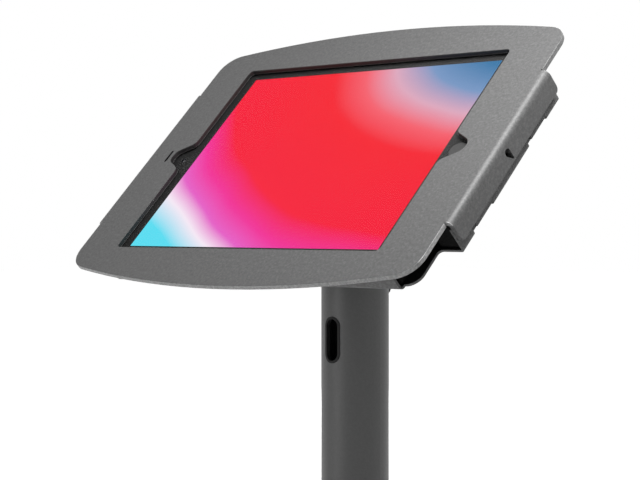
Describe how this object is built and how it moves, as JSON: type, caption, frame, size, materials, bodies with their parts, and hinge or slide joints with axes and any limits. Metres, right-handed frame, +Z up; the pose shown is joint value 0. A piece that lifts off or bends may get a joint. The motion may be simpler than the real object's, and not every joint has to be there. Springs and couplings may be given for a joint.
{
  "type": "tablet security kiosk stand",
  "caption": "Countertop kiosk stand: a folded steel enclosure locks a tablet on a tilting head on a round pole with a weighted foot.",
  "frame": {"origin": "on the pole's axis, at the underside of the base mat, where the stand meets the counter", "axes": "+Z up along the pole, -Y towards the user, +X to the user's right"},
  "size_m": [0.2794, 0.2159, 0.3539],
  "materials": {
    "powder_coat_cover": "fine textured dark grey powder coat",
    "powder_coat_tray": "fine textured dark grey powder coat",
    "powder_coat_pole": "satin dark grey powder coat",
    "powder_coat_base": "satin dark grey powder coat",
    "powder_coat_bracket": "satin dark grey powder coat",
    "base_rubber": "matte ribbed rubber sheet",
    "slot_rubber": "matte black rubber",
    "screw_steel": "black oxide steel",
    "bolt_steel": "zinc plated steel",
    "hinge_steel": "black plated steel",
    "rivet_aluminium": "plain aluminium",
    "washer_plastic": "natural nylon",
    "foam": "black closed cell foam",
    "lock_chrome": "polished plated metal",
    "cam_steel": "zinc plated steel",
    "tablet_aluminium": "fine blasted aluminium",
    "screen_glass": "clear glossy cover glass",
    "bezel_black": "black print behind the glass",
    "screen_panel": "lit display",
    "battery_wrap": "dark film",
    "circuit_board": "green solder mask",
    "camera_lens": "dark coated lens",
    "button_black": "glossy black",
    "button_aluminium": "fine blasted aluminium"
  },
  "bodies": {
    "stand": {"base_plate": "powder_coat_base", "base_mat": "base_rubber", "pole_foot": "powder_coat_base", "foot_screws": "screw_steel", "foot_set_screws": "screw_steel", "pole": "powder_coat_pole", "upper_slot_grommet": "slot_rubber", "lower_slot_grommet": "slot_rubber", "pole_head": "powder_coat_pole", "head_set_screws": "screw_steel"},
    "head": {"tilt_bracket": "powder_coat_bracket", "pivot_bolt": "bolt_steel", "pivot_nut": "bolt_steel", "friction_washers": "washer_plastic", "spring_washer": "bolt_steel", "bracket_screws": "screw_steel", "bracket_nuts": "bolt_steel", "rear_tray": "powder_coat_tray", "tray_grommet": "slot_rubber", "back_foam_pads": "foam", "side_foam_pads": "foam", "tray_hinge_leaves": "hinge_steel", "hinge_pins": "bolt_steel", "hinge_rivets": "rivet_aluminium", "lock_housing": "lock_chrome", "lock_nut": "bolt_steel", "tablet_shell": "tablet_aluminium", "tablet_glass": "screen_glass", "tablet_bezel": "bezel_black", "tablet_display": "screen_panel", "tablet_battery": "battery_wrap", "tablet_logic_board": "circuit_board", "tablet_front_camera": "camera_lens", "tablet_rear_camera": "camera_lens"},
    "cover": {"front_cover": "powder_coat_cover", "screen_gasket": "foam", "cover_hinge_leaves": "hinge_steel", "cover_latch_hook": "powder_coat_cover"},
    "lock": {"lock_plug": "lock_chrome", "lock_cam": "cam_steel", "lock_cam_screw": "screw_steel"},
    "home_button": {"home_button": "button_black"},
    "power_button": {"power_button": "button_aluminium"},
    "volume_up_button": {"volume_up_button": "button_aluminium"},
    "volume_down_button": {"volume_down_button": "button_aluminium"}
  },
  "joints": [
    {"name": "head_tilt", "type": "hinge", "parent": "stand", "child": "head", "pos_m": [0, 0, 0.238], "axis": [1, 0, 0], "range_deg": [-25, 25]},
    {"name": "cover_open", "type": "hinge", "parent": "head", "child": "cover", "pos_m": [0, 0.02726, 0.33802], "axis": [-1, 0, 0], "range_deg": [0, 100]},
    {"name": "lock_turn", "type": "hinge", "parent": "head", "child": "lock", "pos_m": [-0.1277, -0.05834, 0.2327], "axis": [0, -0.7071, 0.7071], "range_deg": [0, 90]},
    {"name": "home_press", "type": "slide", "parent": "head", "child": "home_button", "axis": [0, 0.7071, -0.7071], "range_m": [0, 0.0003], "stiffness_N_per_m": 1200},
    {"name": "power_press", "type": "slide", "parent": "head", "child": "power_button", "axis": [1, 0, 0], "range_m": [0, 0.00025], "stiffness_N_per_m": 1500},
    {"name": "volume_up_press", "type": "slide", "parent": "head", "child": "volume_up_button", "axis": [0, -0.7071, -0.7071], "range_m": [0, 0.00025], "stiffness_N_per_m": 1500},
    {"name": "volume_down_press", "type": "slide", "parent": "head", "child": "volume_down_button", "axis": [0, -0.7071, -0.7071], "range_m": [0, 0.00025], "stiffness_N_per_m": 1500}
  ]
}
